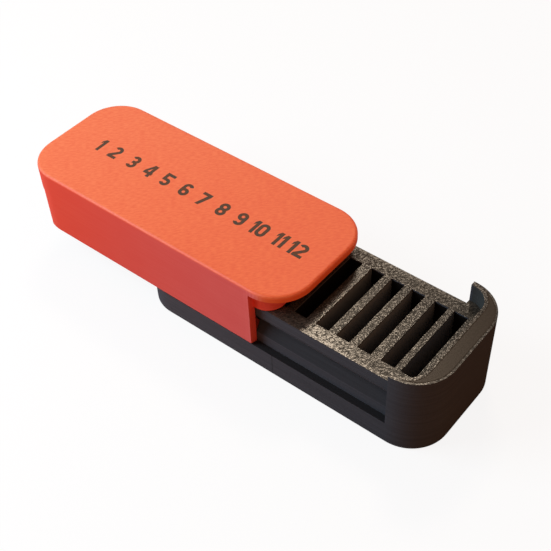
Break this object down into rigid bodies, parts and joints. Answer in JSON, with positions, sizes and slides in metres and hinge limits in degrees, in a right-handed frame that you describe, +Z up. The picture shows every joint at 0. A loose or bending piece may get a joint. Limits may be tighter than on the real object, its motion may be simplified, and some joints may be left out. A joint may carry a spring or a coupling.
{
  "type": "battery storage case",
  "caption": "Sliding case for coin cells: a slotted body that stands each cell on edge, and a cover with inlaid slot numbers that runs on it in V grooves.",
  "frame": {"origin": "centre of the body's underside, on the surface that the case stands on", "axes": "+X along the case to the body's rim end, away from the cover's open end; +Z up from the underside"},
  "size_m": [0.1185, 0.033, 0.0244],
  "materials": {
    "black_plastic": "3-D printed black plastic with a fine speckled sheen and layer lines",
    "orange_plastic": "3-D printed orange plastic with diagonal top lines and fine layer lines on its sides",
    "dark_inlay": "3-D printed dark plastic, flush with the cover's top face"
  },
  "bodies": {
    "body": {"drawer_body": "black_plastic"},
    "cover": {"sliding_cover": "orange_plastic", "slot_number_01": "dark_inlay", "slot_number_02": "dark_inlay", "slot_number_03": "dark_inlay", "slot_number_04": "dark_inlay", "slot_number_05": "dark_inlay", "slot_number_06": "dark_inlay", "slot_number_07": "dark_inlay", "slot_number_08": "dark_inlay", "slot_number_09": "dark_inlay", "slot_number_10": "dark_inlay", "slot_number_11": "dark_inlay", "slot_number_12": "dark_inlay"}
  },
  "joints": [
    {"name": "cover_slide", "type": "slide", "parent": "body", "child": "cover", "axis": [1, 0, 0], "range_m": [-0.035, 0.0365]}
  ]
}
